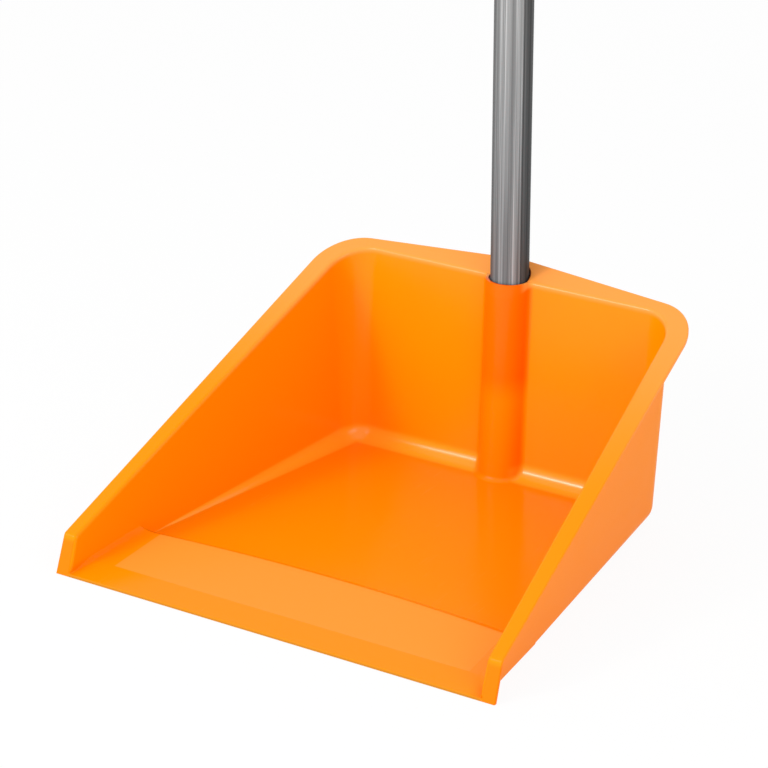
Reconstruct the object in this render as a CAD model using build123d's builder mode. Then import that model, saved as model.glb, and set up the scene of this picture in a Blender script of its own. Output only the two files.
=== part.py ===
from build123d import *
from math import cos, radians, sin, tan
import os

# Upright dustpan: a one-piece moulded pan with a metal pole that pushes into a socket in its back wall.
# Millimetres. +Z is up, +Y points to the back, and the open mouth faces -Y.
# The origin is on the ground, below the middle of the whole object.

# Pan, overall
front_width = 300.0
overall_depth = 283.0
wall = 2.0
draft = 3.0

# Tray: the inner faces of the walls, where they meet the floor
tray_front_half = 140.1
tray_side_taper = 6.7
tray_length = 259.0
corner_radius = 16.0

# Cove between the floor and the walls: even round the back, then narrowing along the sides
cove_back = 9.6
cove_front = 0.6
cove_start = 2.0
cove_run = 180.0
foot_round = 1.6

# Rim: an inclined flat flange that turns down the front ends of the side walls
rim_angle = 22.7
rim_front_height = 19.5
strip_lean = 20.5
fold_radius = 3.0
flange_side_taper = 4.25
flange_corner_radius = 30.0
flange_back_slope = 5.2
flange_peak_radius = 60.0
rim_edge_round = 2.6
outer_edge_round = 0.8

# Front lip: a ramp that climbs to a bowed ridge, with a hollow below it
lip_edge = 1.6
lip_crease = 20.0
lip_crease_height = 3.8
ridge_reach = 66.5
ridge_height = 7.8
ridge_bow = 14.0
ridge_round = 3.0
ramp_wall = 2.3
ramp_back_run = 12.0
ramp_root = 1.4

# Soft corners between the lip and the side walls, as radii from the front edge to the ridge
lip_corner_front = 1.0
lip_corner_crease = 4.0
lip_corner_ridge = 10.0
lip_corner_sink = 0.2

# Socket column in the back wall
socket_set_back = 266.9
socket_depth = 66.0
socket_clearance = 0.06
lead_in = 0.7
column_radius = 14.7
column_blend = 3.5
boss_radius = 13.9
boss_bevel = 1.5

# Pole: a thin rolled tube with a lengthwise seam
pole_radius = 12.0
pole_wall = 0.5
pole_length = 640.0
seam_angle = -30.0
seam_radius = 0.5
seam_depth = 0.22

# Plug in the lower end of the pole
plug_head = 2.0
plug_length = 32.0
plug_wall = 1.8
press_fit = 0.05

# Hanging cap on the upper end of the pole
cap_radius = 12.8
cap_height = 36.0
cap_collar = 7.0
cap_scoop = 9.0
cap_thickness = 9.0
cap_spigot = 30.0
eye_radius = 11.0
eye_hole_radius = 5.5
eye_hole_bevel = 0.8

# Sizes for cutting: walls are made too tall and then cut down, and cutters run right through the pan
blank_height = 155.0
blank_front = 80.0
overrun = 6.0
through = 400.0

os.makedirs("parts", exist_ok=True)

front_y = -overall_depth / 2
half_front = front_width / 2
tray_back = front_y + tray_length
pole_y = front_y + socket_set_back
floor_top = wall
lean = tan(radians(draft))
rim_slope = tan(radians(rim_angle))
side_taper = tan(radians(tray_side_taper))
skin = wall / cos(radians(draft))
rise = (blank_height - floor_top) * lean


def rim_height(y):
    # Height of the top of the flange
    return rim_front_height + (y - front_y) * rim_slope


def tray_half(y):
    # Half width of the tray at the floor
    return tray_front_half - (y - front_y) * side_taper


def rim_half(y):
    # Half width between the inner faces of the side walls, at the rim
    return tray_half(y) + (rim_height(y) - floor_top) * lean / cos(radians(tray_side_taper))


# Rounded rear corner of the tray in plan, and the directions of the right side wall
up = Vector(0, 0, 1)
corner_y = tray_back - corner_radius
corner = Vector(tray_half(corner_y) - corner_radius / cos(radians(tray_side_taper)), corner_y, 0)
side_out = Vector(cos(radians(tray_side_taper)), sin(radians(tray_side_taper)), 0)
side_forward = Vector(sin(radians(tray_side_taper)), -cos(radians(tray_side_taper)), 0)
side_plane = Plane(origin=corner + side_out * corner_radius, x_dir=side_out, z_dir=side_forward)
wall_up = side_out * sin(radians(draft)) + up * cos(radians(draft))
wall_out = side_out * cos(radians(draft)) - up * sin(radians(draft))

# The side cove is a cone that touches both the floor and the wall
cove_fall = (cove_back - cove_front) / (cove_run - cove_start)
cove_inset = (1 - sin(radians(draft))) / cos(radians(draft))


def cove_radius(distance):
    # Distance of the cone's axis from the floor and from the wall, at a distance in front of the corner
    return cove_back - (distance - cove_start) * cove_fall


def cove_centre(distance):
    radius = cove_radius(distance)
    return side_plane.from_local_coords(Vector(-cove_inset * radius, floor_top + radius, distance))


cove_first = -corner_radius
cove_last = cove_run + overrun
cove_line = cove_centre(cove_last) - cove_centre(cove_first)
cove_axis = cove_line.normalized()
to_floor = cove_axis * up.dot(cove_axis) - up
to_wall = wall_out - cove_axis * wall_out.dot(cove_axis)
cove_cos = to_floor.length
cove_plane = Plane(origin=cove_centre(cove_first), x_dir=cove_axis, z_dir=cove_axis.cross(to_floor))

# Plane where the cone and the even cove meet without a step, and the factor that makes their sections one
seam_normal = cove_axis + side_forward * cove_cos
seam_run = cove_axis.dot(seam_normal)
cove_match = seam_run / (seam_run - 1 + cove_cos**2)
cove_seam = Plane(origin=cove_centre(cove_start), z_dir=seam_normal)


def tray_outline(y_front, y_back, outset):
    # Plan of the tray floor between two depths, with its sides moved out by the outset
    with BuildSketch() as outline:
        Polygon(
            (-tray_half(y_front) - outset, y_front),
            (tray_half(y_front) + outset, y_front),
            (tray_half(y_back) + outset, y_back),
            (-tray_half(y_back) - outset, y_back),
            align=None,
        )
    return outline.sketch


def ramp_section(x):
    # Side view of the lip: the sweeping edge, the ramp, the ridge and its back slope into the floor
    crease = front_y + lip_crease
    ridge = front_y + ridge_reach - ridge_bow * (x / half_front) ** 2
    with BuildSketch(Plane(origin=(x, 0, 0), x_dir=(0, 1, 0), z_dir=(1, 0, 0))) as section:
        Polygon(
            (front_y, 0),
            (front_y, lip_edge),
            (crease, lip_crease_height),
            (ridge, ridge_height),
            (ridge + ramp_back_run, floor_top * 0.8),
            (ridge + ramp_back_run, floor_top * 0.5),
            (ridge - ridge_round / 2, ridge_height - ramp_wall),
            (crease, lip_crease_height - ramp_wall),
            align=None,
        )
        fillet(section.vertices().sort_by_distance((ridge, ridge_height, 0))[0], ridge_round)
    return section.sketch


def lip_corner_section(y, height, radius):
    # Filling between the lip and a side wall at one depth, with a concave face sunk a little into both
    base = height - lip_corner_sink
    reach = radius / tan(radians(90 + draft) / 2)
    foot = Vector((base - floor_top) * lean + lip_corner_sink, base)
    wall_end = foot + Vector(sin(radians(draft)), cos(radians(draft))) * reach
    distance = (side_plane.origin.Y - y) / cos(radians(tray_side_taper))
    with BuildSketch(side_plane.offset(distance)) as section:
        with BuildLine():
            TangentArc(foot - (reach, 0), wall_end, tangent=(1, 0))
            Polyline(
                wall_end,
                wall_end + (wall / 4, 0),
                foot + (wall / 4, -ramp_wall / 2),
                foot - (reach, ramp_wall / 2),
                foot - (reach, 0),
            )
        make_face()
    return section.sketch


# Section of the back wall: an L of even thickness with a strip of floor, the cove and the drafted wall
with BuildSketch(side_plane) as wall_section:
    Polygon(
        (-corner_radius, floor_top),
        (0, floor_top),
        (rise, blank_height),
        (rise + skin, blank_height),
        (skin - floor_top * lean, 0),
        (-corner_radius, 0),
        align=None,
    )
    fillet(wall_section.vertices().sort_by_distance((0, floor_top, 0))[0], cove_back * cove_match)
    fillet(wall_section.vertices().sort_by_distance((skin, 0, 0))[0], (cove_back + wall) * cove_match)

# Section of a side wall beside the lip, where the floor ends
with BuildSketch(side_plane.offset(cove_run)) as front_section:
    Polygon(
        (-floor_top * lean, 0),
        (rise, blank_height),
        (rise + skin, blank_height),
        (skin - floor_top * lean, 0),
        align=None,
    )
    fillet(front_section.vertices().sort_by_distance((skin, 0, 0))[0], foot_round)

# Back of the tray: the wall section turned round the rear corner and run across to the middle
with BuildPart() as back:
    extrude(wall_section.sketch, amount=corner_radius)
    split(bisect_by=cove_seam, keep=Keep.BOTTOM)
    revolve(wall_section.sketch, axis=Axis(corner, up), revolution_arc=90 - tray_side_taper)
    extrude(back.faces().sort_by(Axis.X)[0], amount=corner.X)

# Side of the tray: the narrowing cove, the wall above it, a strip of floor, and the plain wall in front
with BuildPart() as side:
    with BuildSketch(cove_plane):
        Polygon(
            (0, cove_radius(cove_first) / cove_cos),
            (cove_line.length, cove_radius(cove_last) / cove_cos),
            (cove_line.length, (cove_radius(cove_last) + wall) / cove_cos),
            (0, (cove_radius(cove_first) + wall) / cove_cos),
            align=None,
        )
    revolve(axis=Axis(cove_plane.origin, to_floor.cross(to_wall)), revolution_arc=to_floor.get_angle(to_wall))
    cove_ends = side.faces().filter_by(GeomType.PLANE).sort_by(Axis(corner, side_out))
    extrude(cove_ends[-1], amount=blank_height, dir=wall_up)
    extrude(cove_ends[0], amount=corner_radius / 2, dir=-side_out)
    split(bisect_by=cove_seam, keep=Keep.TOP)
    split(bisect_by=side_plane.offset(cove_run), keep=Keep.BOTTOM)
    extrude(front_section.sketch, amount=blank_front)

with BuildPart() as tray:
    add(back.part)
    add(side.part)
    mirror(about=Plane.YZ)

# Floor between the walls
ridge_end = side_plane.from_local_coords(Vector(-corner_radius / 4, 0, cove_run))
front_end = ridge_end + side_forward * blank_front
with BuildPart() as floor:
    with BuildSketch():
        with BuildLine():
            Polyline(
                (0, corner.Y),
                (corner.X, corner.Y),
                (ridge_end.X, ridge_end.Y),
                (front_end.X, front_end.Y),
                (0, front_end.Y),
            )
            mirror(about=Plane.YZ)
        make_face()
    extrude(amount=floor_top)

# Lip ramp, run a little into the side walls
with BuildPart() as ramp:
    loft([ramp_section(x) for x in (-half_front, 0, half_front)])
    extrude(tray_outline(front_y - overrun, 0, ramp_root), amount=through, both=True, mode=Mode.INTERSECT)

# Hollow below the ramp, whose back edge follows the bowed ridge
hollow_back = front_y + ridge_reach + ramp_back_run - wall
bow_radius = half_front**2 / (2 * ridge_bow)
with BuildSketch() as hollow:
    add(tray_outline(front_end.Y - overrun, hollow_back + overrun, -2 * cove_front))
    with Locations((0, hollow_back - bow_radius)):
        Circle(bow_radius, mode=Mode.INTERSECT)

# Rim line, seen from the side: up the front strip, over the fold and back along the incline
strip_slope = tan(radians(strip_lean))
fold_z = rim_front_height / (1 - rim_slope * strip_slope)
rim_end = front_y + overall_depth + overrun
rim_points = [
    (front_y - overrun * strip_slope, -overrun),
    (front_y + fold_z * strip_slope, fold_z),
    (rim_end, rim_height(rim_end)),
]

# Everything above the rim line
with BuildPart() as above_rim:
    with BuildSketch(Plane.YZ):
        with BuildLine():
            rim_line = FilletPolyline(*rim_points, radius=fold_radius)
            Polyline(
                rim_line @ 1,
                (rim_end, through),
                (-through, through),
                (-through, -overrun),
                rim_line @ 0,
            )
        make_face()
    extrude(amount=front_width, both=True)

# Soft corners beside the lip, which widen up to the ridge and die away behind it
ridge_side_y = front_y + ridge_reach - ridge_bow * (tray_half(front_y + ridge_reach) / half_front) ** 2
with BuildPart() as lip_corners:
    loft(
        [
            lip_corner_section(front_y, lip_edge, lip_corner_front),
            lip_corner_section(front_y + lip_crease, lip_crease_height, lip_corner_crease),
            lip_corner_section(ridge_side_y, ridge_height, lip_corner_ridge),
            lip_corner_section(ridge_side_y + ramp_back_run, floor_top, lip_corner_front),
        ],
        ruled=True,
    )
    mirror(about=Plane.YZ)
    add(above_rim.part, mode=Mode.SUBTRACT)

# Where the inner face of the back wall meets the rim, which is also the height of the socket's mouth
wall_top_y = (tray_back + (rim_height(0) - floor_top) * lean) / (1 - rim_slope * lean)
mouth_z = rim_height(wall_top_y)
socket_floor = mouth_z - socket_depth
boss_bottom = socket_floor - wall

# Flange: a plate that follows the rim line, trimmed to the flange outline and open over the tray
back_slope = tan(radians(flange_back_slope))
flange_taper = tan(radians(flange_side_taper))
peak = overall_depth + flange_peak_radius * (1 / cos(radians(flange_back_slope)) - 1)
flange_corner_x = (half_front - peak * flange_taper) / (1 - back_slope * flange_taper)
flange_corner_y = front_y + peak - flange_corner_x * back_slope
flange_front = front_y - overrun
flange_front_x = half_front + overrun * flange_taper
opening_outset = wall / 4
opening_radius = corner_radius + (mouth_z - floor_top) * lean + opening_outset
with BuildPart() as flange:
    with BuildSketch(Plane.YZ):
        with BuildLine():
            FilletPolyline(*rim_points, radius=fold_radius)
            offset(amount=wall, side=Side.RIGHT)
        make_face()
    extrude(amount=front_width, both=True)
    with BuildSketch():
        with BuildLine():
            outer_edge = FilletPolyline(
                (-flange_front_x, flange_front),
                (-flange_corner_x, flange_corner_y),
                (0, front_y + peak),
                (flange_corner_x, flange_corner_y),
                (flange_front_x, flange_front),
                radius=[flange_corner_radius, flange_peak_radius, flange_corner_radius],
            )
            Line(outer_edge @ 1, outer_edge @ 0)
        make_face()
    extrude(amount=through, both=True, mode=Mode.INTERSECT)
    with BuildSketch() as opening:
        Polygon(
            (-rim_half(flange_front) - opening_outset, flange_front),
            (rim_half(flange_front) + opening_outset, flange_front),
            (rim_half(wall_top_y) + opening_outset, wall_top_y + opening_outset),
            (-rim_half(wall_top_y) - opening_outset, wall_top_y + opening_outset),
            align=None,
        )
        fillet(opening.vertices().group_by(Axis.Y)[-1], opening_radius)
    extrude(amount=through, both=True, mode=Mode.SUBTRACT)
    split(bisect_by=Plane.XY, keep=Keep.TOP)

# Socket column: a half-round rib that leans with the back wall, seen inside the tray
column_plane = Plane(origin=(0, pole_y - mouth_z * lean, 0), x_dir=(1, 0, 0), z_dir=(0, lean, 1))
back_plane = Plane(origin=(corner.X, tray_back, 0), x_dir=(0, 1, 0), z_dir=(1, 0, 0))
with BuildPart() as column:
    with BuildSketch(column_plane):
        Circle(column_radius)
    extrude(amount=through, both=True)
    with BuildSketch(back_plane) as front_of_wall:
        Polygon(
            (-3 * column_radius, wall / 2),
            (skin / 2, wall / 2),
            (rise + skin / 2, blank_height),
            (-3 * column_radius, blank_height),
            align=None,
        )
        fillet(front_of_wall.vertices().sort_by_distance((skin / 2, 0, 0))[0], cove_back + wall / 2)
    extrude(amount=-2 * corner.X, mode=Mode.INTERSECT)
    split(bisect_by=Plane.XY.offset(mouth_z), keep=Keep.BOTTOM)

# Boss behind the back wall, which closes the socket
with BuildPart() as boss:
    with BuildSketch(Plane.XY.offset(boss_bottom)):
        with Locations((0, pole_y)):
            Circle(boss_radius)
    extrude(amount=blank_height - boss_bottom)
    chamfer(boss.edges().group_by(Axis.Z)[0], boss_bevel)
    add(above_rim.part, mode=Mode.SUBTRACT)

# Groove up the back of the column, from the underside to the socket floor
with BuildPart() as groove:
    with BuildSketch(column_plane):
        Circle(column_radius - wall)
    extrude(amount=through, both=True)
    split(bisect_by=Plane.XY.offset(boss_bottom), keep=Keep.BOTTOM)


def on_rim(edge):
    middle = edge @ 0.5
    return edge.length > fold_radius + overrun and abs(middle.Z - rim_height(middle.Y)) < 0.01


def over_tray(edge):
    middle = edge @ 0.5
    return abs(middle.X) < rim_half(middle.Y) + wall / 2 and middle.Y < wall_top_y + wall / 2


def beside_column(edge):
    middle = edge @ 0.5
    near = abs(middle.X) < column_radius and abs(middle.Z - mouth_z / 2) < column_radius
    return near and edge.length > socket_depth


with BuildPart() as pan:
    add(tray.part)
    add(floor.part)
    extrude(hollow.sketch, amount=wall + overrun, both=True, mode=Mode.SUBTRACT)
    add(ramp.part)
    add(above_rim.part, mode=Mode.SUBTRACT)
    add(flange.part)
    fillet(pan.edges().filter_by(on_rim).filter_by(lambda edge: not over_tray(edge)), outer_edge_round)
    fillet(pan.edges().filter_by(on_rim).filter_by(over_tray), rim_edge_round)
    add(lip_corners.part)
    add(boss.part)
    add(column.part)
    fillet(pan.edges().filter_by(beside_column), column_blend)
    add(groove.part, mode=Mode.SUBTRACT)
    with Locations((0, pole_y, blank_height)):
        CounterBoreHole(
            radius=pole_radius + socket_clearance,
            counter_bore_radius=pole_radius + lead_in,
            counter_bore_depth=blank_height - mouth_z + lead_in,
            depth=blank_height - socket_floor,
        )

# Plug that closes the lower end of the pole and stands on the socket floor
tube_bore = pole_radius - pole_wall
tube_bottom = socket_floor + plug_head
tube_top = tube_bottom + pole_length
with BuildPart() as pole_plug:
    with BuildSketch(Plane.XY.offset(socket_floor)):
        with Locations((0, pole_y)):
            Circle(pole_radius)
    extrude(amount=plug_head)
    with BuildSketch(Plane.XY.offset(tube_bottom)):
        with Locations((0, pole_y)):
            Circle(tube_bore + press_fit)
            Circle(tube_bore - plug_wall, mode=Mode.SUBTRACT)
    extrude(amount=plug_length)

# Pole: a thin tube with a shallow groove along its seam
with BuildPart() as pole_tube:
    with BuildSketch(Plane.XY.offset(tube_bottom)):
        with Locations((0, pole_y)):
            Circle(pole_radius)
            Circle(tube_bore, mode=Mode.SUBTRACT)
            with PolarLocations(pole_radius + seam_radius - seam_depth, 1, start_angle=seam_angle):
                Circle(seam_radius, mode=Mode.SUBTRACT)
    extrude(amount=pole_length)

# Hanging cap: a round collar that flattens into an arched eye, on a hollow spigot
cap_plane = Plane(origin=(0, pole_y, tube_top), x_dir=(0, 1, 0), z_dir=(1, 0, 0))
eye_z = cap_height - eye_radius
with BuildPart() as hang_cap:
    with BuildSketch(Plane.XY.offset(tube_top)):
        with Locations((0, pole_y)):
            Circle(cap_radius)
    extrude(amount=cap_height)
    with BuildSketch(Plane.XZ.offset(-pole_y)):
        with Locations((0, tube_top + eye_z)):
            Circle(eye_radius)
        with Locations((0, tube_top + cap_collar / 2)):
            Rectangle(2 * cap_radius, cap_collar)
        make_hull()
    extrude(amount=cap_radius, both=True, mode=Mode.INTERSECT)
    with BuildSketch(cap_plane):
        with BuildLine():
            scoop = FilletPolyline(
                (cap_radius + overrun, cap_collar),
                (cap_radius, cap_collar),
                (cap_thickness / 2, cap_collar + cap_scoop),
                (cap_thickness / 2, cap_height + overrun),
                radius=cap_scoop / 2,
            )
            Polyline(scoop @ 1, (cap_radius + overrun, cap_height + overrun), scoop @ 0)
        make_face()
        mirror(about=Plane.YZ)
    extrude(amount=2 * cap_radius, both=True, mode=Mode.SUBTRACT)
    with BuildSketch(Plane.XZ.offset(-pole_y)):
        with Locations((0, tube_top + eye_z)):
            Circle(eye_hole_radius)
    extrude(amount=cap_radius, both=True, mode=Mode.SUBTRACT)
    chamfer(hang_cap.edges(Select.LAST).filter_by(GeomType.CIRCLE), eye_hole_bevel)
    with BuildSketch(Plane.XY.offset(tube_top)):
        with Locations((0, pole_y)):
            Circle(tube_bore + press_fit)
    extrude(amount=-cap_spigot)
    with BuildSketch(Plane.XY.offset(tube_top - cap_spigot)):
        with Locations((0, pole_y)):
            Circle(tube_bore - plug_wall)
    extrude(amount=cap_spigot + cap_collar / 2, mode=Mode.SUBTRACT)

pan.part.label = "pan"
export_step(pan.part, "parts/pan.step")
pole_tube.part.label = "pole_tube"
export_step(pole_tube.part, "parts/pole_tube.step")
pole_plug.part.label = "pole_plug"
export_step(pole_plug.part, "parts/pole_plug.step")
hang_cap.part.label = "hang_cap"
export_step(hang_cap.part, "parts/hang_cap.step")
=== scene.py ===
import math

import bmesh
import bpy
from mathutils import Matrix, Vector


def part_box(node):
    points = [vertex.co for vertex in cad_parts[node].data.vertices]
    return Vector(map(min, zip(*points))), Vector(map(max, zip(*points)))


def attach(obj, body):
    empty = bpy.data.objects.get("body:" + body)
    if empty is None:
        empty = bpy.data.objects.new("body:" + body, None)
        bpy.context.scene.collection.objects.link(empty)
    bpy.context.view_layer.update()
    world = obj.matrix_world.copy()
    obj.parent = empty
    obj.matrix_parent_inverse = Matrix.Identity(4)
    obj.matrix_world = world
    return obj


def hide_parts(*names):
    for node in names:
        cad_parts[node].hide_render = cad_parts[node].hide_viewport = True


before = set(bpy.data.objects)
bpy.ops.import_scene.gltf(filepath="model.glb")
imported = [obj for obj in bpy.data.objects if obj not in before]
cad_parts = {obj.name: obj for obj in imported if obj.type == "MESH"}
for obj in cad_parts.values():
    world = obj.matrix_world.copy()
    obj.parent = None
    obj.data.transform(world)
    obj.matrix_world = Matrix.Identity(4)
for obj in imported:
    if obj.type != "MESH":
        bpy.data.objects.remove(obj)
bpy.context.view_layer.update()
print("frame loaded:", sorted(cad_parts))

perMetre = 1000.0  # millimetres
mergeGap = 2e-6  # metres, between points that are joined


class Wire:  # one socket of a node tree, so that sums on it read as plain Python
    def __init__(self, tree, socket=None):
        self.tree = tree
        self.socket = socket

    def make(self, kind, settings=None, sockets=None, out=0):
        node = self.tree.nodes.new(kind)
        for name, value in (settings or {}).items():
            if name == "stops":
                ramp = node.color_ramp.elements
                while len(ramp) < len(value):
                    ramp.new(1.0)
                for stop, (place, tone) in zip(ramp, value):
                    stop.position = place
                    stop.color = (tone, tone, tone, 1.0)
            else:
                setattr(node, name, value)
        for key, value in (sockets or {}).items():
            for part in value if isinstance(value, list) else [value]:
                if isinstance(part, Wire):
                    self.tree.links.new(part.socket, node.inputs[key])
                else:
                    node.inputs[key].default_value = part
        return Wire(self.tree, node.outputs[out] if len(node.outputs) else None)

    def math(self, operation, first, second=0.0):
        return self.make("ShaderNodeMath", {"operation": operation}, {0: first, 1: second})

    def __add__(self, other):
        return self.math("ADD", self, other)

    def __radd__(self, other):
        return self.math("ADD", other, self)

    def __sub__(self, other):
        return self.math("SUBTRACT", self, other)

    def __rsub__(self, other):
        return self.math("SUBTRACT", other, self)

    def __mul__(self, other):
        return self.math("MULTIPLY", self, other)

    def __rmul__(self, other):
        return self.math("MULTIPLY", other, self)

    def __truediv__(self, other):
        return self.math("DIVIDE", self, other)

    def __rtruediv__(self, other):
        return self.math("DIVIDE", other, self)

    def __abs__(self):
        return self.math("ABSOLUTE", self)

    def step(self, low, high):  # 0 below low, 1 above high, soft between
        settings = {"interpolation_type": "SMOOTHSTEP"}
        return self.make("ShaderNodeMapRange", settings, {"Value": self, "From Min": low, "From Max": high})

    def fall(self, low, high):  # 1 below low, 0 above high
        return 1.0 - self.step(low, high)

    def blend(self, first, second):  # colour mix, with this value as the share of the second
        return self.make("ShaderNodeMix", {"data_type": "RGBA"}, {0: self, 6: first, 7: second}, 2)


# tools that every finish uses: places are in millimetres

def newMaterial(name, **constants):
    material = bpy.data.materials.new(name)
    material.use_nodes = True
    shader = material.node_tree.nodes["Principled BSDF"]
    for key, value in constants.items():
        shader.inputs[key.replace("_", " ")].default_value = value
    metres = Wire(material.node_tree).make("ShaderNodeTexCoord", out=3)
    place = metres.make("ShaderNodeVectorMath", {"operation": "SCALE"}, {0: metres, "Scale": perMetre})
    return material, shader, place


def feed(shader, **wires):
    for key, wire in wires.items():
        wire.tree.links.new(wire.socket, shader.inputs[key.replace("_", " ")])


def axes(place):
    node = place.make("ShaderNodeSeparateXYZ", sockets={0: place}).socket.node
    return [Wire(place.tree, socket) for socket in node.outputs]


def grain(place, size, detail=2.0, shift=0.0):  # soft noise from 0 to 1, with lumps of that size
    shrink = tuple(1.0 / side for side in size)
    settings = {"vector_type": "POINT"}
    spot = place.make("ShaderNodeMapping", settings, {0: place, 1: (shift, shift, shift), 3: shrink})
    return place.make("ShaderNodeTexNoise", sockets={"Vector": spot, "Scale": 1.0, "Detail": detail})


def dent(height, depth):  # bump of a height from 0 to 1, with its full depth in millimetres
    sockets = {"Height": height, "Distance": depth / perMetre, "Strength": 1.0}
    return height.make("ShaderNodeBump", sockets=sockets)


def beyond(start, zone):  # a zone that is given by its distances from a start
    return [start + distance for distance in zone]


# tools that every piece uses

def addObject(name, data):
    thing = bpy.data.objects.new(name, data)
    bpy.context.scene.collection.objects.link(thing)
    return thing


def finalMesh(maker):  # what the object's modifiers make, as a plain mesh
    seen = bpy.context.evaluated_depsgraph_get()
    return bpy.data.meshes.new_from_object(maker.evaluated_get(seen))


def openMesh(mesh):
    work = bmesh.new()
    work.from_mesh(mesh)
    return work


def closeMesh(work, mesh):
    work.to_mesh(mesh)
    work.free()


def paint(piece, material):
    piece.data.materials.clear()
    piece.data.materials.append(material)


def soften(piece, angle):  # merged points, smooth faces, and creases where faces turn by more than the angle
    work = openMesh(piece.data)
    bmesh.ops.remove_doubles(work, verts=work.verts, dist=mergeGap)
    for face in work.faces:
        face.smooth = True
    for edge in work.edges:
        edge.smooth = len(edge.link_faces) == 2 and edge.calc_face_angle() < math.radians(angle)
    closeMesh(work, piece.data)
    piece.modifiers.new("evenShading", "WEIGHTED_NORMAL").keep_sharp = True


def addPiece(name, mesh, material, node, body, angle):
    piece = addObject(name, mesh)
    soften(piece, angle)
    paint(piece, material)
    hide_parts(node)
    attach(piece, body)
    print("piece made:", name, len(piece.data.polygons), "faces")


# pan: one moulding of slightly clear orange plastic

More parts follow.
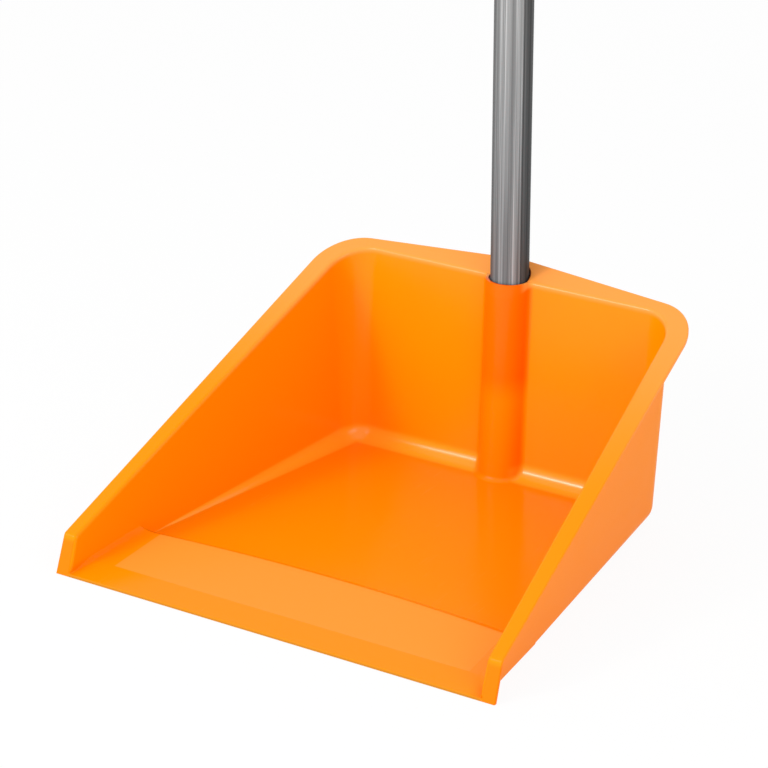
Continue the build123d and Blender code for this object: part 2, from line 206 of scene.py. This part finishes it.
pan = {
    "softAngle": 20.0,
    "shape": {
        "front": -141.5,
        "top": 137.0,
        "floor": 2.0,
        "wall": 2.0,
        "wallLean": math.tan(math.radians(3.0)),
        "innerHalf": 140.1,  # half width between the side walls at the front edge
        "sideTaper": math.tan(math.radians(6.7)),
        "backFoot": 117.5,  # y of the back wall's inner face at the floor
        "rimFront": 19.5,  # height of the rim at the front edge
        "rimSlope": math.tan(math.radians(22.7)),
        "stripLean": math.tan(math.radians(20.5)),  # front ends of the side walls
        "lipEdge": 1.6,  # height of the lip at its front edge, the crease and the ridge
        "creaseHeight": 3.8,
        "ridgeHeight": 7.8,
        "lipSlope": 0.1,  # about that of the lip and the ramp together
        "crease": -121.5,  # y where the flat lip turns up into the ramp
        "ridge": -72.5,  # y of the ramp's ridge in the middle, and its bow
        "ridgeBow": 9.65 / 150.0**2,
        "cadRidge": -75.0,  # the same two in the CAD node
        "cadBow": 14.0 / 150.0**2,
        "backRun": 12.0,  # from the ridge down to the floor behind it
        "panelHalf": 121.7,  # half width of the ramp's matt panel at the crease
        "panelTaper": 0.055,
        "coveStart": -69.3,  # y where the walls' round foot begins, its radius there and how fast that grows
        "coveFirst": 0.6,
        "coveGrowth": 0.0497,
        "columnFoot": 118.55,  # y of the socket column's axis at the floor
        "columnRadius": 14.7,
        "poleEnd": 64.7,  # height that the pole reaches down to inside the column
        "boreY": 125.4,
        "mouthShadeRadius": 13.4,  # radius out to which shade is painted round the socket's mouth
    },
    "lipCorner": {  # hollow curve between the lip and each side wall, wider from the front edge to the ramp
        "start": 2.5,  # distance behind the front edge
        "radii": (0.4, 10.0, 10.6, 0.4),  # at the start, the crease, the ridge and the floor behind it
        "halfAngle": math.radians(46.5),  # half the opening between the lip and the leaning wall
        "sink": 0.05,  # how far the curve's edges dip into the lip and the wall
        "endSink": 0.6,  # at both ends, which run out below the surface
        "crestSink": 0.14,  # at the rounded ridge
        "root": 0.6,
        "steps": 12,
        "settles": 3,
        "lipShares": (0.0, 0.15, 0.3, 0.45, 0.6, 0.75, 0.9, 1.0),  # stations on the lip, the ramp, its back
        "rampShares": (0.2, 0.4, 0.6, 0.8, 0.98),
        "backShares": (0.08, 0.25, 0.4, 0.55, 0.7, 0.85, 1.0),
        "sliver": 5e-6,  # metres, for the short edges that the union leaves
    },
    "rampMove": {  # the ridge moves back and the corners climb the walls less, as in the photo
        "reach": 20.0,  # height up to which points move
        "giveWay": 40.0,  # floor behind the ramp that takes up the move
        "cornerKeep": 0.36,  # share of the corners' height that is kept
        "cornerWidth": (-0.2, 16.0),  # distances from the side wall
        "cornerIn": (3.0, 10.0),  # distances behind the front edge between which that sets in
        "cornerOut": (0.0, 15.0),  # and behind the ramp between which it ends
    },
    "look": {
        "shine": 0.06,
        "gloss": 0.17,
        "polish": 0.25,  # clear gloss of the inner faces and the rim, which the outer faces lack
        "covePolish": 0.3,
        "coatBlur": 0.2,
        "bump": 0.12,
    },
    "colours": {
        "deep": (1.0, 0.265, 0.0, 1.0),  # low on the walls and on the floor, the darker end of the painted light
        "clear": (1.0, 0.28, 0.0, 1.0),  # painted light: lighter high on the walls, where light comes through the plastic
        "cove": (1.0, 0.36, 0.012, 1.0),  # painted highlight on the round foot of the walls
        "corner": (1.0, 0.205, 0.0, 1.0),  # painted shade on the lip next to the side walls
        "paintedColumnShade": (1.0, 0.135, 0.0, 1.0),  # painted shade on the column, where the dark pole stands behind the plastic
        "rim": (1.0, 0.27, 0.002, 1.0),
        # painted sheen: the rim is paler towards the rear
        "paintedRimSheen": (1.0, 0.34, 0.055, 1.0),
        "strip": (1.0, 0.205, 0.0, 1.0),
        "edge": (0.57, 0.21, 0.012, 1.0),  # painted shade on the thin front edge of the lip
        "gap": (0.16, 0.012, 0.0, 1.0),  # painted shade round the pole at the mouth of the socket
        "panel": (1.0, 0.305, 0.03, 1.0),  # matt panel on the ramp
        "flow": (1.0, 0.26, 0.0, 1.0),  # slow streaks of the moulding
        "scuff": (1.0, 0.36, 0.05, 1.0),
    },
    "zones": {  # the two places between which a part of the finish sets in or ends
        "clear": 10.0,  # height, with the top as the second place
        "rim": (-4.0, -1.0),  # height from the rim's top face
        "strip": (1.0, 3.0),  # behind the front face
        "inside": (-0.3, 0.3),  # from the middle of the wall
        "shinyRim": (-60.0, 110.0),  # y
        "offGround": (0.8, 1.2),  # height
        "lipSide": (1.0, 15.0),  # from the middle of the side wall
        "paintedLipShade": (1.0, 10.0),
        "lipFootTop": (1.5, 5.0),  # above the lip
        "lipEnd": (-90.0, -70.0),  # y
        "band": (-1.0, 0.0),  # y from the crease
        "edge": (0.3, 0.7),  # behind the front edge
        "edgeTop": (1.5, 1.9),  # height
        "cove": (0.7, 1.15),  # shares of its radius
        "coveIn": (0.0, 20.0),  # behind its start
        "column": (-0.5, 4.0),  # from its radius
        "filled": (-12.0, 8.0),  # height from the pole's end
        "columnFront": (4.0, 9.0),  # before the pole's axis
        "mouth": (-0.6, 0.0),  # from its radius
        "mouthLow": (-1.0, 0.0),  # height from the pole's end
        "panelFront": (-0.4, 0.8),  # from the panel's edges
        "panelRear": (-0.3, 0.9),
        "panelSide": (-0.8, 0.8),
        "panelLow": (1.5, 2.5),  # height
        "scuffTop": (8.0, 16.0),  # height
        "paintedSheenY": (-20.0, 135.0),  # y
    },
    "grains": {  # size of the lumps on each axis, and the values of the noise between which they show
        "flow": (38.0, 120.0, 38.0),
        "flowShown": (0.35, 0.75),
        "scratch": (0.35, 42.0, 4.0),
        "scratchShown": (0.64, 0.74),
        "patch": (22.0, 30.0, 30.0),
        "patchShown": (0.45, 0.65),
        "mottle": (9.0, 14.0, 9.0),
        "swell": (26.0, 34.0, 26.0),  # slow unevenness of a moulded face
        "skin": (0.7, 0.7, 0.7),
    },
    # corner, column, filled and the side shift are shares of painted shade; flow and scuff are the plastic's
    # own marks
    "tones": {"flow": 0.35, "corner": 0.8, "column": 0.35, "filled": 0.5, "paintedSideShade": 0.02, "scuff": 0.3},
    "rough": {"mottle": 0.06, "scuff": 0.12, "rim": 0.04, "panel": 0.25, "outside": 0.18},
    "height": {"swell": 0.75, "skin": 0.02, "panel": 0.05, "scuff": 0.02},
    "dull": {"panel": 0.7, "band": 0.6, "column": 0.5},
}


def makePanPlastic():
    shape, look, colours = pan["shape"], pan["look"], pan["colours"]
    zones, grains, tones = pan["zones"], pan["grains"], pan["tones"]
    roughs, heights, dulls = pan["rough"], pan["height"], pan["dull"]
    material, shader, place = newMaterial(
        "panPlastic", Specular_IOR_Level=look["shine"], Coat_Roughness=look["coatBlur"])
    x, y, z = axes(place)
    depth = y - shape["front"]
    rim = (z - depth * shape["rimSlope"]).step(*beyond(shape["rimFront"], zones["rim"]))

    # inner faces, up to the middle of the wall's thickness
    lean = z * shape["wallLean"] + shape["wall"] / 2
    across = shape["innerHalf"] - depth * shape["sideTaper"] + lean - abs(x)
    behindGap = shape["backFoot"] + lean - y
    inside = across.step(*zones["inside"]) * behindGap.step(*zones["inside"])
    polished = inside.math("MAXIMUM", inside, rim * y.step(*zones["shinyRim"]))
    polished = polished * z.step(*zones["offGround"])
    strip = (y - z * shape["stripLean"]).fall(*beyond(shape["front"], zones["strip"])) * (1.0 - inside)

    # lip: its ends next to the side walls with painted shade, its flat band and its thin front edge with
    # painted shade
    lipSide = across.fall(*zones["lipSide"]) * y.fall(*zones["lipEnd"])
    aboveLip = z - shape["lipEdge"] - depth * shape["lipSlope"]
    # painted shade on the lip next to the side walls
    paintedLipShade = lipSide * across.fall(*zones["paintedLipShade"]) * aboveLip.fall(*zones["lipFootTop"]) * inside
    band = y.fall(*beyond(shape["crease"], zones["band"]))
    # painted shade along the lip's thin front edge
    edge = y.fall(*beyond(shape["front"], zones["edge"])) * z.fall(*zones["edgeTop"]) * inside

    # round foot of the walls, which runs out towards the front, with a painted highlight along it
    coveSize = (y - shape["coveStart"]) * shape["coveGrowth"] + shape["coveFirst"]
    near = across.math("MINIMUM", across, behindGap) - shape["wall"] / 2
    cove = (near / coveSize).fall(*zones["cove"]) * ((z - shape["floor"]) / coveSize).fall(*zones["cove"])
    cove = cove * y.step(*beyond(shape["coveStart"], zones["coveIn"])) * inside

    # socket column, with painted shade down to where the pole ends and less of it towards +x low down, and
    # painted shade at the mouth of its bore
    aside = y - z * shape["wallLean"] - shape["columnFoot"]
    limits = [radius**2 for radius in beyond(shape["columnRadius"], zones["column"])]
    column = (x * x + aside * aside).fall(*limits)
    filled = z.step(*beyond(shape["poleEnd"], zones["filled"]))
    # painted shade in the column where the pole fills it, less towards +x low down
    paintedColumnShade = filled * tones["filled"] + tones["column"] - (1.0 - filled) * x * tones["paintedSideShade"]
    paintedColumnShade = paintedColumnShade * column
    rim = rim * (1.0 - column * (shape["boreY"] - y).step(*zones["columnFront"]))
    fromPole = y - shape["boreY"]
    limits = [radius**2 for radius in beyond(shape["mouthShadeRadius"], zones["mouth"])]
    # painted shade round the pole at the socket's mouth
    mouth = (x * x + fromPole * fromPole).fall(*limits)
    mouth = mouth * z.step(*beyond(shape["poleEnd"], zones["mouthLow"]))

    # matt panel on the ramp, with crisp edges
    behind = y - shape["crease"]
    before = shape["ridge"] - x * x * shape["ridgeBow"] - y
    beside = shape["panelHalf"] - behind * shape["panelTaper"] - abs(x)
    panel = behind.step(*zones["panelFront"]) * before.step(*zones["panelRear"])
    panel = panel * beside.step(*zones["panelSide"]) * z.step(*zones["panelLow"])

    # marks of moulding and of use
    flow = grain(place, grains["flow"]).step(*grains["flowShown"])
    scratch = grain(place, grains["scratch"], detail=3.0).step(*grains["scratchShown"])
    patch = grain(place, grains["patch"]).step(*grains["patchShown"])
    scuff = scratch * patch * z.fall(*zones["scuffTop"])

    # painted light: the walls grow lighter towards the top
    colour = z.step(zones["clear"], shape["top"]).blend(colours["deep"], colours["clear"])
    # painted sheen: the rim grows paler towards the rear
    rimWithSheen = y.step(*zones["paintedSheenY"]).blend(colours["rim"], colours["paintedRimSheen"])
    for share, shade in (
        (flow * tones["flow"], colours["flow"]),
        (cove, colours["cove"]),
        (paintedLipShade * tones["corner"], colours["corner"]),
        (paintedColumnShade, colours["paintedColumnShade"]),
        (strip, colours["strip"]),
        (edge, colours["edge"]),
        (rim, rimWithSheen),
        (mouth, colours["gap"]),
        (panel, colours["panel"]),
        (scuff * tones["scuff"], colours["scuff"]),
    ):
        colour = share.blend(colour, shade)

    outside = (1.0 - inside) * (1.0 - rim)
    rough = look["gloss"] + grain(place, grains["mottle"]) * roughs["mottle"] + scuff * roughs["scuff"]
    rough = rough + rim * roughs["rim"] + panel * roughs["panel"] + outside * roughs["outside"]
    swell = grain(place, grains["swell"], detail=1.0) * heights["swell"]
    skin = grain(place, grains["skin"]) * (heights["skin"] + panel * heights["panel"])
    wave = dent(swell + skin - scuff * heights["scuff"], look["bump"])
    gloss = polished * (look["polish"] + cove * look["covePolish"]) * (1.0 - mouth) * (1.0 - lipSide)
    for part, loss in ((panel, dulls["panel"]), (band, dulls["band"]), (column, dulls["column"])):
        gloss = gloss * (1.0 - part * loss)
    feed(shader, Base_Color=colour, Roughness=rough, Normal=wave, Coat_Weight=gloss)
    return material


def mix(first, second, share):
    return first + (second - first) * share


def smooth(value, low, high):  # as a wire's step, for plain numbers
    share = min(1.0, max(0.0, (value - low) / (high - low)))
    return share * share * (3.0 - 2.0 * share)


def lipProfile():  # stations along the lip: y in the middle, share of the ridge's bow, height and radius
    shape, corner = pan["shape"], pan["lipCorner"]
    first, crease, ridge, last = corner["radii"]
    lip = shape["crease"] - shape["front"]
    stations = []
    for share in corner["lipShares"]:
        depth = mix(corner["start"], lip, share)
        height = mix(shape["lipEdge"], shape["creaseHeight"], depth / lip)
        height -= corner["endSink"] * (share == 0.0)
        stations.append((shape["front"] + depth, 0.0, height, mix(first, crease, smooth(share, 0.0, 1.0))))
    for share in corner["rampShares"]:
        middle = mix(shape["crease"], shape["cadRidge"], share)
        height = mix(shape["creaseHeight"], shape["ridgeHeight"], share)
        stations.append((middle, share, height, mix(crease, ridge, share)))
    stations.append((shape["cadRidge"], 1.0, shape["ridgeHeight"] - corner["crestSink"], ridge))
    for share in corner["backShares"]:
        middle = shape["cadRidge"] + shape["backRun"] * share
        height = mix(shape["ridgeHeight"], shape["lipEdge"], share)
        height -= corner["endSink"] * (share == 1.0)
        stations.append((middle, 1.0, height, mix(ridge, last, share)))
    return stations


def lipCornerMesh(side):  # a closed wedge, in metres, on the left (-1) or right (1)
    shape, corner = pan["shape"], pan["lipCorner"]
    root = corner["root"]
    work = bmesh.new()
    rings = []
    for middle, bow, height, radius in lipProfile():
        reach = radius / math.tan(corner["halfAngle"])
        base = height - corner["sink"]
        points = []
        for step in range(corner["steps"] + 1):
            angle = math.pi / 2 * step / corner["steps"]
            points.append((reach * (1.0 - math.sin(angle)), base + reach * (1.0 - math.cos(angle))))
        points += [(-root, base + reach), (-root, base - root), (reach, base - root)]
        ring = []
        for inward, z in points:
            y = middle
            for settle in range(corner["settles"]):  # the bow moves the point along the tapering wall
                half = shape["innerHalf"] - (y - shape["front"]) * shape["sideTaper"]
                x = half + (z - shape["floor"]) * shape["wallLean"] + corner["sink"] - inward
                y = middle - bow * shape["cadBow"] * x * x
            ring.append(work.verts.new((side * x / perMetre, y / perMetre, z / perMetre)))
        rings.append(ring)
    for before, after in zip(rings, rings[1:]):
        for i in range(len(before)):
            j = (i + 1) % len(before)
            work.faces.new((before[i], before[j], after[j], after[i]))
    work.faces.new(rings[0])
    work.faces.new(rings[-1])
    bmesh.ops.triangulate(work, faces=work.faces)
    bmesh.ops.recalc_face_normals(work, faces=work.faces)
    mesh = bpy.data.meshes.new("lipCorner")
    closeMesh(work, mesh)
    return mesh


def withLipCorners(mesh):  # the pan and both wedges as one mesh
    work = openMesh(mesh)
    bmesh.ops.remove_doubles(work, verts=work.verts, dist=mergeGap)
    closeMesh(work, mesh)
    shell = addObject("shellMaker", mesh)
    makers = [shell]
    for side in (-1, 1):
        wedge = addObject("lipCorner", lipCornerMesh(side))
        union = shell.modifiers.new("lipCorner", "BOOLEAN")
        union.operation = "UNION"
        union.solver = "MANIFOLD"
        union.object = wedge
        makers.append(wedge)
    whole = finalMesh(shell)
    for maker in makers:
        bpy.data.objects.remove(maker)
    work = openMesh(whole)
    bmesh.ops.triangulate(work, faces=work.faces)
    bmesh.ops.dissolve_degenerate(work, edges=work.edges, dist=pan["lipCorner"]["sliver"])
    closeMesh(work, whole)
    return whole


def moveRamp(mesh):
    shape, move = pan["shape"], pan["rampMove"]
    nearest, farthest = move["cornerWidth"]
    for point in mesh.vertices:
        x, y, z = point.co * perMetre
        depth = y - shape["front"]
        ridge = shape["cadRidge"] - shape["cadBow"] * x * x
        foot = ridge + shape["backRun"]
        if z > move["reach"] or y > foot + move["giveWay"]:
            continue
        climb = (y - shape["crease"]) / (ridge - shape["crease"])
        if climb < 0.0:
            height = mix(shape["lipEdge"], shape["creaseHeight"], depth / (shape["crease"] - shape["front"]))
        elif climb < 1.0:
            height = mix(shape["creaseHeight"], shape["ridgeHeight"], climb)
        else:
            height = mix(shape["ridgeHeight"], shape["floor"], min(1.0, (y - ridge) / shape["backRun"]))

        # corners, which keep to the leaning wall as they sink
        half = shape["innerHalf"] - depth * shape["sideTaper"]
        gap = half + (z - shape["floor"]) * shape["wallLean"] - abs(x)
        drop = 0.0
        if z > height and nearest < gap < farthest:
            fade = smooth(depth, *move["cornerIn"]) * (1.0 - smooth(y - foot, *move["cornerOut"]))
            drop = (z - height) * (1.0 - move["cornerKeep"]) * fade

        # ridge, which keeps to the tapering wall as it moves back
        push = min(1.0, max(0.0, climb)) * (1.0 - smooth(y, foot, foot + move["giveWay"]))
        back = push * (shape["ridge"] - shape["ridgeBow"] * x * x - ridge)
        if drop or back:
            x -= math.copysign(drop * shape["wallLean"], x)
            x -= x / half * back * shape["sideTaper"]
            point.co = Vector((x, y + back, z - drop)) / perMetre


panMesh = withLipCorners(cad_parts["pan"].data.copy())
moveRamp(panMesh)
print("pan shaped:", len(panMesh.vertices), "points")
addPiece("panShell", panMesh, makePanPlastic(), "pan", "pan", pan["softAngle"])


# pole: a strip of lacquered steel rolled into a tube, with its seam and roll lines along it

poleLow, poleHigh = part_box("pole_tube")
pole = {
    "softAngle": 40.0,
    "shape": {  # inputs of the node group that makes the tube, in metres
        "Radius": (poleHigh[0] - poleLow[0]) / 2,
        "Wall": 0.0005,
        "Length": poleHigh[2] - poleLow[2],
        "Foot": (0.0, (poleLow[1] + poleHigh[1]) / 2, poleLow[2]),
        "Points": 480,  # round the tube
        "Roll Depth": 0.00012,
        "Roll Width": 0.0022,
        "Seam Depth": 0.00022,
        "Seam Width": 0.0006,
        "Seam Angle": math.radians(-30.0),  # from +X
        "Seed": 7.0,
        "Join Gap": 1e-6,  # between points that are joined
    },
    "look": {
        "metal": 0.12,
        "shine": 0.05,
        "gloss": 0.36,
        "bump": 0.012,
    },
    "tones": [  # share of a turn from the seam, and the grey there: the lacquer's bands, with painted shade on the darker side just past the seam
        (0.0, 0.34), (0.006, 0.11), (0.04, 0.085), (0.12, 0.055), (0.2, 0.12), (0.34, 0.2), (0.55, 0.22),
        (0.73, 0.125), (0.785, 0.25), (0.845, 0.33), (0.9, 0.22), (0.95, 0.4), (0.98, 0.25), (1.0, 0.34),
    ],
    "paintedLowShade": (0.79, 0.91, 0.965, 1.0),  # painted shade low on the tube, bluer to cancel the orange light from the pan
    # painted light: lighter higher up the tube
    "paintedHighLight": (1.2, 1.235, 1.24, 1.0),
    "paintedLightHeights": (100.0, 350.0),
    "grains": {
        "drawn": (0.55, 0.55, 160.0),  # fine lines drawn along the tube
        "drawnShown": (0.50, 0.66),
        "streak": (1.6, 1.6, 420.0),
        "streakShown": (0.42, 0.60),
        "mottle": (6.0, 6.0, 40.0),
    },
    "bright": {"plain": 0.95, "drawn": 0.5, "streak": 0.35},
    "rough": {"drawn": 0.10, "mottle": 0.05},
}


def makePoleSteel():
    shape, look, grains = pole["shape"], pole["look"], pole["grains"]
    bright, roughs = pole["bright"], pole["rough"]
    material, shader, place = newMaterial(
        "poleSteel", Metallic=look["metal"], Specular_IOR_Level=look["shine"])
    x, y, z = axes(place)
    angle = x.math("ARCTAN2", y - shape["Foot"][1] * perMetre, x) - shape["Seam Angle"]
    turn = x.math("FLOORED_MODULO", angle / math.tau, 1.0)
    # painted shade: the tube is darker on one side round its girth, besides the lacquer's bands
    tone = turn.make("ShaderNodeValToRGB", {"stops": pole["tones"]}, {0: turn})
    drawn = grain(place, grains["drawn"], detail=3.0)
    streak = grain(place, grains["streak"], shift=3.0)
    lines = bright["plain"] + drawn.step(*grains["drawnShown"]) * bright["drawn"]
    lines = lines - streak.step(*grains["streakShown"]) * bright["streak"]
    # painted light and shade: the tube grows lighter upwards and bluer low down
    paintedHeightLight = z.step(*pole["paintedLightHeights"]).blend(pole["paintedLowShade"], pole["paintedHighLight"])
    settings = {"data_type": "RGBA", "blend_type": "MULTIPLY"}
    shade = tone.make("ShaderNodeMix", settings, {0: 1.0, 6: tone, 7: paintedHeightLight}, 2)
    colour = shade.make("ShaderNodeVectorMath", {"operation": "SCALE"}, {0: shade, "Scale": lines})
    rough = look["gloss"] + drawn * roughs["drawn"] + grain(place, grains["mottle"]) * roughs["mottle"]
    feed(shader, Base_Color=colour, Roughness=rough, Normal=dent(drawn, look["bump"]))
    return material


def rolledTube(material):
    shape = pole["shape"]
    tree = bpy.data.node_groups.new("rolledTube", "GeometryNodeTree")
    kinds = {"Foot": "NodeSocketVector", "Points": "NodeSocketInt"}
    sockets = {}
    for name in shape:
        kind = kinds.get(name, "NodeSocketFloat")
        sockets[name] = tree.interface.new_socket(name, in_out="INPUT", socket_type=kind).identifier
    tree.interface.new_socket("Tube", in_out="OUTPUT", socket_type="NodeSocketGeometry")
    start = Wire(tree)
    given = start.make("NodeGroupInput").socket.node.outputs
    size = {name: Wire(tree, given[name]) for name in shape}

    # outer ring: roll lines and a seam, all cut inwards
    circle = {"Resolution": size["Points"], "Radius": 1.0}
    ring = start.make("GeometryNodeCurvePrimitiveCircle", sockets=circle)
    spot = start.make("GeometryNodeInputPosition")
    x, y, z = axes(spot)
    turn = x.math("FLOORED_MODULO", x.math("ARCTAN2", y, x) - size["Seam Angle"], math.tau)
    along = turn * size["Radius"]
    place = along / size["Roll Width"] + size["Seed"]
    noise = {"W": place, "Scale": 1.0, "Detail": 2.0}
    lines = start.make("ShaderNodeTexNoise", {"noise_dimensions": "1D"}, noise)
    edge = x.math("MINIMUM", along, size["Radius"] * math.tau - along)
    seam = edge.fall(0.0, size["Seam Width"])
    radius = size["Radius"] - lines * size["Roll Depth"] - seam * size["Seam Depth"]
    rolled = spot.make("ShaderNodeVectorMath", {"operation": "SCALE"}, {0: spot, "Scale": radius})
    outer = ring.make("GeometryNodeSetPosition", sockets={"Geometry": ring, "Position": rolled})
    bore = {"Resolution": size["Points"], "Radius": size["Radius"] - size["Wall"]}
    inner = start.make("GeometryNodeCurvePrimitiveCircle", sockets=bore)

    # the ring between both circles is drawn out to the tube's length
    both = start.make("GeometryNodeJoinGeometry", sockets={0: [outer, inner]})
    end = start.make("GeometryNodeFillCurve", sockets={0: both})
    up = start.make("ShaderNodeCombineXYZ", sockets={2: size["Length"]})
    drawn = start.make("GeometryNodeExtrudeMesh", sockets={"Mesh": end, "Offset": up, "Individual": False})
    under = start.make("GeometryNodeFlipFaces", sockets={0: end})
    closed = start.make("GeometryNodeJoinGeometry", sockets={0: [drawn, under]})
    closed = start.make("GeometryNodeMergeByDistance", sockets={0: closed, "Distance": size["Join Gap"]})
    placed = start.make("GeometryNodeTransform", sockets={0: closed, "Translation": size["Foot"]})
    whole = start.make("GeometryNodeRealizeInstances", sockets={0: placed})
    painted = start.make("GeometryNodeSetMaterial", sockets={0: whole, "Material": material})
    start.make("NodeGroupOutput", sockets={0: painted})

    maker = addObject("tubeMaker", bpy.data.meshes.new("tubeMaker"))
    modifier = maker.modifiers.new("rolledTube", "NODES")
    modifier.node_group = tree
    for name, value in shape.items():
        modifier[sockets[name]] = value
    mesh = finalMesh(maker)
    bpy.data.objects.remove(maker)
    return mesh


poleSteel = makePoleSteel()
poleMesh = rolledTube(poleSteel)
addPiece("poleTube", poleMesh, poleSteel, "pole_tube", "handle", pole["softAngle"])


# plug and cap: small mouldings pressed into the tube's ends

plug = {
    "base": (0.022, 0.022, 0.024, 1.0),
    "worn": (0.075, 0.075, 0.078, 1.0),
    "grainSize": 0.5,
    "gloss": 0.42,
    "shine": 0.4,
}
cap = {
    "base": (1.0, 0.265, 0.0, 1.0),
    "worn": (1.0, 0.34, 0.03, 1.0),
    "grainSize": 0.8,
    "gloss": 0.2,
    "shine": 0.25,
}
moulded = {  # what both share
    "softAngle": 32.0,
    "bump": 0.03,
    "fineHeight": 0.5,
    "slow": (9.0, 9.0, 14.0),
    "slowShown": (0.35, 0.8),
    "rub": (0.5, 6.0, 6.0),
    "rubShown": (0.62, 0.75),
    "tones": {"slow": 0.5, "rub": 0.35},
    "rough": {"slow": 0.08, "rub": 0.10},
}


def makeMoulded(name, look):
    tones, roughs = moulded["tones"], moulded["rough"]
    material, shader, place = newMaterial(name, Specular_IOR_Level=look["shine"])
    size = look["grainSize"]
    fine = grain(place, (size, size, size), detail=3.0)
    slow = grain(place, moulded["slow"], shift=5.0)
    rub = grain(place, moulded["rub"], detail=3.0, shift=9.0).step(*moulded["rubShown"])
    colour = (slow.step(*moulded["slowShown"]) * tones["slow"]).blend(look["base"], look["worn"])
    colour = (rub * tones["rub"]).blend(colour, look["worn"])
    rough = look["gloss"] + slow * roughs["slow"] + rub * roughs["rub"]
    wave = dent(fine * moulded["fineHeight"] + slow, moulded["bump"])
    feed(shader, Base_Color=colour, Roughness=rough, Normal=wave)
    return material


for node, name, slot, look in (
    ("pole_plug", "polePlug", "plug_plastic", plug),
    ("hang_cap", "hangCap", "cap_plastic", cap),
):
    plastic = makeMoulded(name + "Plastic", look)
    addPiece(name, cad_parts[node].data.copy(), plastic, node, "handle", moulded["softAngle"])


# camera, floor and light

view = {
    "azimuth": 32.563,
    "elevation": 22.912,
    "distance": 1.84316,
    "target": (0.00064, -0.01884, 0.1112),
    "lens": 148.81,
    "sensor": 36.0,
}
studio = {
    "floorHalf": 6.0,
    "floorDrop": 0.0002,
    "floorTone": (0.9, 0.9, 0.9, 1.0),
    "floorWhite": 0.93,  # share of plain white that the camera and reflections see
    "white": (1.0, 1.0, 1.0, 1.0),
    "sky": 0.8,
    "lamps": {  # power, size and place
        "key": (12.5, 1.1, (-0.85, -1.58, 0.92)),
        "glint": (8.0, 0.3, (-0.85, -1.5, 1.0)),
        "fill": (7.0, 1.0, (1.5, -0.8, 0.9)),
    },
}


def makeCamera():
    turn, lift = math.radians(view["azimuth"]), math.radians(view["elevation"])
    back = Vector((math.sin(turn) * math.cos(lift), -math.cos(turn) * math.cos(lift), math.sin(lift)))
    data = bpy.data.cameras.new("photoCamera")
    data.lens = view["lens"]
    data.sensor_width = view["sensor"]
    camera = addObject("photoCamera", data)
    camera.location = Vector(view["target"]) + back * view["distance"]
    camera.rotation_euler = back.to_track_quat("Z", "Y").to_euler()
    bpy.context.scene.camera = camera


def lightPath(tree):  # 1 for rays from the camera and for those that mirror or pass through
    path = Wire(tree).make("ShaderNodeLightPath").socket.node.outputs
    rays = [Wire(tree, path[name]) for name in ("Is Camera Ray", "Is Glossy Ray", "Is Transmission Ray")]
    return rays[0].math("MAXIMUM", rays[0], rays[0].math("MAXIMUM", rays[1], rays[2]))


def makeFloor():
    half, drop = studio["floorHalf"], -studio["floorDrop"]
    mesh = bpy.data.meshes.new("floor")
    corners = [(-half, -half, drop), (half, -half, drop), (half, half, drop), (-half, half, drop)]
    mesh.from_pydata(corners, [], [(0, 1, 2, 3)])
    floor = addObject("floor", mesh)
    material = bpy.data.materials.new("paleFloor")
    material.use_nodes = True
    material.node_tree.nodes.clear()
    seen = lightPath(material.node_tree)
    matt = seen.make("ShaderNodeBsdfDiffuse", sockets={"Color": studio["floorTone"]})
    white = seen.make("ShaderNodeEmission", sockets={"Color": studio["white"], "Strength": 1.0})
    mixed = seen.make("ShaderNodeMixShader", sockets={0: seen * studio["floorWhite"], 1: matt, 2: white})
    seen.make("ShaderNodeOutputMaterial", sockets={0: mixed})
    paint(floor, material)


def makeLight():
    world = bpy.data.worlds.new("studio")
    bpy.context.scene.world = world
    world.use_nodes = True
    world.node_tree.nodes.clear()
    seen = lightPath(world.node_tree)
    soft = seen.make("ShaderNodeBackground", sockets={"Color": studio["white"], "Strength": studio["sky"]})
    white = seen.make("ShaderNodeBackground", sockets={"Color": studio["white"], "Strength": 1.0})
    mixed = seen.make("ShaderNodeMixShader", sockets={0: seen, 1: soft, 2: white})
    seen.make("ShaderNodeOutputWorld", sockets={0: mixed})
    for name, (power, size, place) in studio["lamps"].items():
        lamp = bpy.data.lights.new(name, "AREA")
        lamp.energy = power
        lamp.size = size
        softbox = addObject(name, lamp)
        softbox.location = place
        softbox.rotation_euler = (Vector(place) - Vector(view["target"])).to_track_quat("Z", "Y").to_euler()


makeCamera()
makeFloor()
makeLight()
bpy.context.scene.view_settings.view_transform = "Standard"
print("camera, floor and light set")
